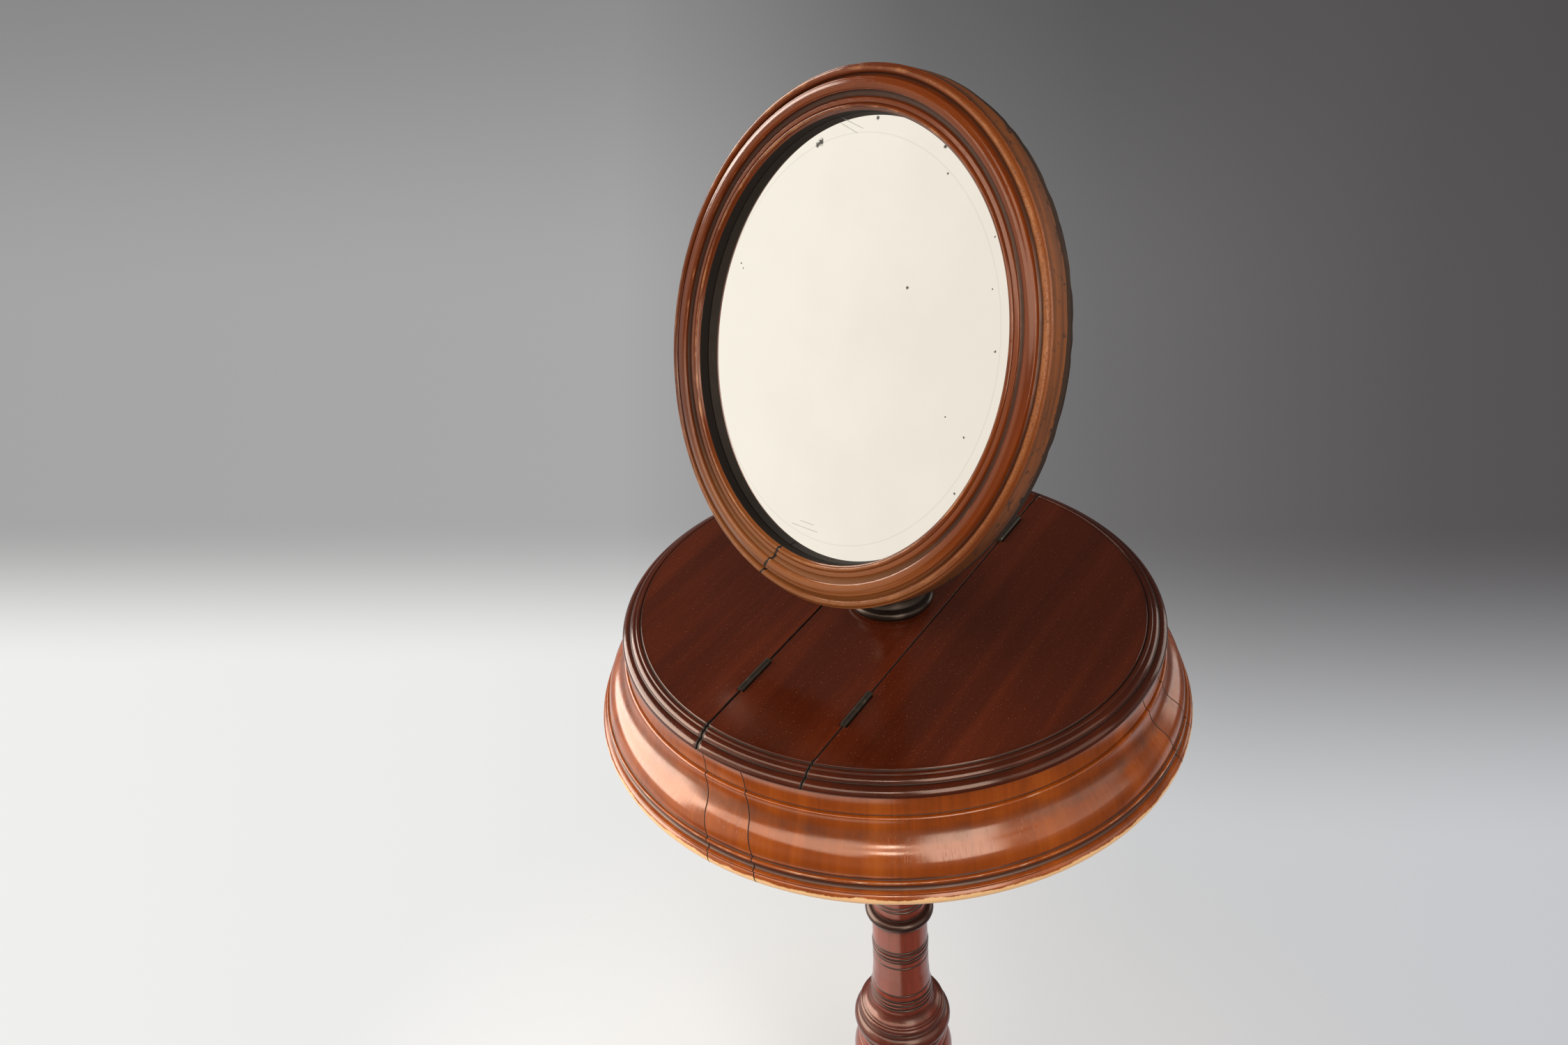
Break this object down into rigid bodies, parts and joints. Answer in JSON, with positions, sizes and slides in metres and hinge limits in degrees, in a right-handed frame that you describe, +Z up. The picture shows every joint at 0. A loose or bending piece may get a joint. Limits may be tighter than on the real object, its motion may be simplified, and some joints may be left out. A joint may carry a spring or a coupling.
{
  "type": "vanity mirror",
  "caption": "Free-standing vanity mirror: oval tilting and swivelling mirror on a telescopic stem over a round lidded case, with a turned column and tripod legs.",
  "frame": {"origin": "on the floor, under the middle of the column", "axes": "+Z up along the column's axis, -Y to the front, where the user stands, +X to the user's right; the joints between lids and centre board run along Y"},
  "size_m": [0.4596, 0.4596, 1.2348],
  "materials": {
    "dark_wood": "polished, worn",
    "side_wood": "polished, worn",
    "red_wood": "polished",
    "ebonised": "ebonised and polished",
    "board": "plain, unpolished",
    "back": "stained, dull",
    "softwood": "raw",
    "brass": "lacquer worn, dull",
    "old_brass": "dark patina",
    "screw_brass": "dull",
    "silvered_glass": "bevelled, lightly foxed"
  },
  "bodies": {
    "stand": {"leg_front": "red_wood", "leg_rear_right": "red_wood", "leg_rear_left": "red_wood", "leg_block": "red_wood", "turned_drop": "red_wood", "column_vase": "red_wood", "column_shaft": "red_wood", "flange_screws": "screw_brass", "case_bottom": "board", "case_bottom_screws": "screw_brass", "case_side_front_right": "side_wood", "case_side_back_right": "side_wood", "case_side_back_left": "side_wood", "case_side_front_left": "side_wood", "side_block_front": "side_wood", "side_block_right": "side_wood", "side_block_back": "side_wood", "side_block_left": "side_wood", "divider_left": "board", "divider_right": "board", "centre_board": "dark_wood", "collar": "ebonised", "guide_bush": "brass", "hinge_leaves_fixed": "old_brass", "hinge_pins": "old_brass", "hinge_screws_fixed": "old_brass"},
    "lid_left": {"lid_left": "dark_wood", "hinge_leaves_left": "old_brass", "hinge_screws_left": "old_brass"},
    "lid_right": {"lid_right": "dark_wood", "hinge_leaves_right": "old_brass", "hinge_screws_right": "old_brass"},
    "clamp": {"clamp_screw": "brass", "clamp_knob": "ebonised"},
    "stem": {"stem": "red_wood", "stem_foot": "brass", "swivel_socket": "brass"},
    "swivel": {"swivel_fork": "brass", "tilt_pin": "old_brass"},
    "tilt_knob": {"tilt_knob": "ebonised"},
    "mirror": {"mirror_plate": "brass", "mirror_plate_screws": "old_brass", "mirror_frame": "side_wood", "mirror_glass": "silvered_glass", "glass_blocks": "softwood", "backboard": "back", "backboard_screws": "screw_brass"}
  },
  "joints": [
    {"name": "lid_left_hinge", "type": "hinge", "parent": "stand", "child": "lid_left", "pos_m": [-0.0417, 0, 0.8406], "axis": [0, 1, 0], "range_deg": [0, 50]},
    {"name": "lid_right_hinge", "type": "hinge", "parent": "stand", "child": "lid_right", "pos_m": [0.0414, 0, 0.8406], "axis": [0, -1, 0], "range_deg": [0, 60]},
    {"name": "clamp_turn", "type": "hinge", "parent": "stand", "child": "clamp", "pos_m": [0, 0.0343, 0.85488], "axis": [0, 1, 0], "range_deg": [0, 360]},
    {"name": "stem_slide", "type": "slide", "parent": "stand", "child": "stem", "axis": [0, 0, 1], "range_m": [0, 0.28]},
    {"name": "swivel_turn", "type": "hinge", "parent": "stem", "child": "swivel", "pos_m": [0, 0, 1.0352], "axis": [0, 0, 1], "continuous": true},
    {"name": "tilt_knob_turn", "type": "hinge", "parent": "swivel", "child": "tilt_knob", "pos_m": [0, 0, 1.0525], "axis": [0.9699, -0.2436, 0], "range_deg": [0, 360]},
    {"name": "mirror_tilt", "type": "hinge", "parent": "swivel", "child": "mirror", "pos_m": [0, 0, 1.0525], "axis": [-0.9699, 0.2436, 0], "range_deg": [-20, 40]}
  ]
}
